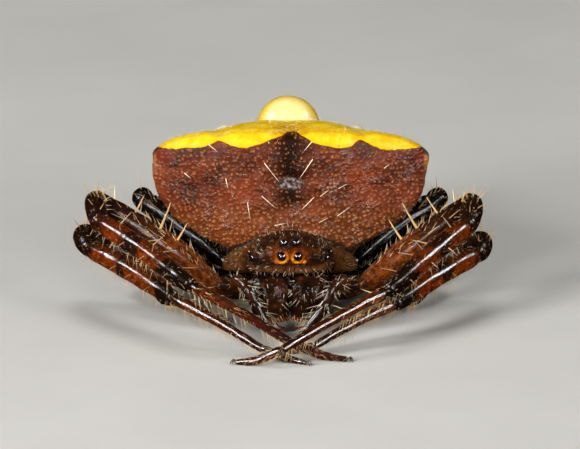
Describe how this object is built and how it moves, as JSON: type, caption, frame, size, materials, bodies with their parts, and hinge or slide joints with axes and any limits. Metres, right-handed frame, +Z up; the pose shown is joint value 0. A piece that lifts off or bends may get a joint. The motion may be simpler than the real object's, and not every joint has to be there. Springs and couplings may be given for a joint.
{
  "type": "triangle orb weaver spider",
  "caption": "Still, life-size model of a crouched orb-weaving spider with a broad triangular abdomen, a pale ball at its tail and folded, bristled legs.",
  "frame": {"origin": "middle of the bottom of the part's box, on the floor that the feet rest on", "axes": "+Z up from the floor, -Y the way the spider faces, +X to the spider's own left"},
  "size_m": [0.0121, 0.0125, 0.0051],
  "materials": {
    "carapace": "satin, dark brown, haired",
    "thorax_cuticle": "satin, tan",
    "abdomen_skin": "satin, maroon with pale speckles and a yellow plate",
    "leg_cuticle": "satin, orange-brown with dark bands",
    "foot_cuticle": "satin, dark red-brown",
    "eye_lens": "glossy, near black",
    "fang": "glossy, dark amber"
  },
  "bodies": {
    "root": {"abdomen": "abdomen_skin", "chelicera_left": "carapace", "chelicera_right": "carapace", "eye_front_middle_left": "eye_lens", "eye_front_middle_right": "eye_lens", "eye_front_side_left": "eye_lens", "eye_front_side_right": "eye_lens", "eye_rear_middle_left": "eye_lens", "eye_rear_middle_right": "eye_lens", "eye_rear_side_left": "eye_lens", "eye_rear_side_right": "eye_lens", "fang_left": "fang", "fang_right": "fang", "head": "carapace", "leg1_left_femur": "leg_cuticle", "leg1_left_foot": "foot_cuticle", "leg1_left_tibia": "leg_cuticle", "leg1_right_femur": "leg_cuticle", "leg1_right_foot": "foot_cuticle", "leg1_right_tibia": "leg_cuticle", "leg2_left_femur": "leg_cuticle", "leg2_left_foot": "foot_cuticle", "leg2_left_tibia": "leg_cuticle", "leg2_right_femur": "leg_cuticle", "leg2_right_foot": "foot_cuticle", "leg2_right_tibia": "leg_cuticle", "leg3_left_femur": "leg_cuticle", "leg3_left_foot": "foot_cuticle", "leg3_left_tibia": "leg_cuticle", "leg3_right_femur": "leg_cuticle", "leg3_right_foot": "foot_cuticle", "leg3_right_tibia": "leg_cuticle", "leg4_left_femur": "leg_cuticle", "leg4_left_foot": "foot_cuticle", "leg4_left_tibia": "leg_cuticle", "leg4_right_femur": "leg_cuticle", "leg4_right_foot": "foot_cuticle", "leg4_right_tibia": "leg_cuticle", "palp_left_femur": "foot_cuticle", "palp_left_tarsus": "foot_cuticle", "palp_right_femur": "foot_cuticle", "palp_right_tarsus": "foot_cuticle", "pedicel": "thorax_cuticle", "spinnerets": "thorax_cuticle", "thorax": "thorax_cuticle"}
  },
  "joints": []
}
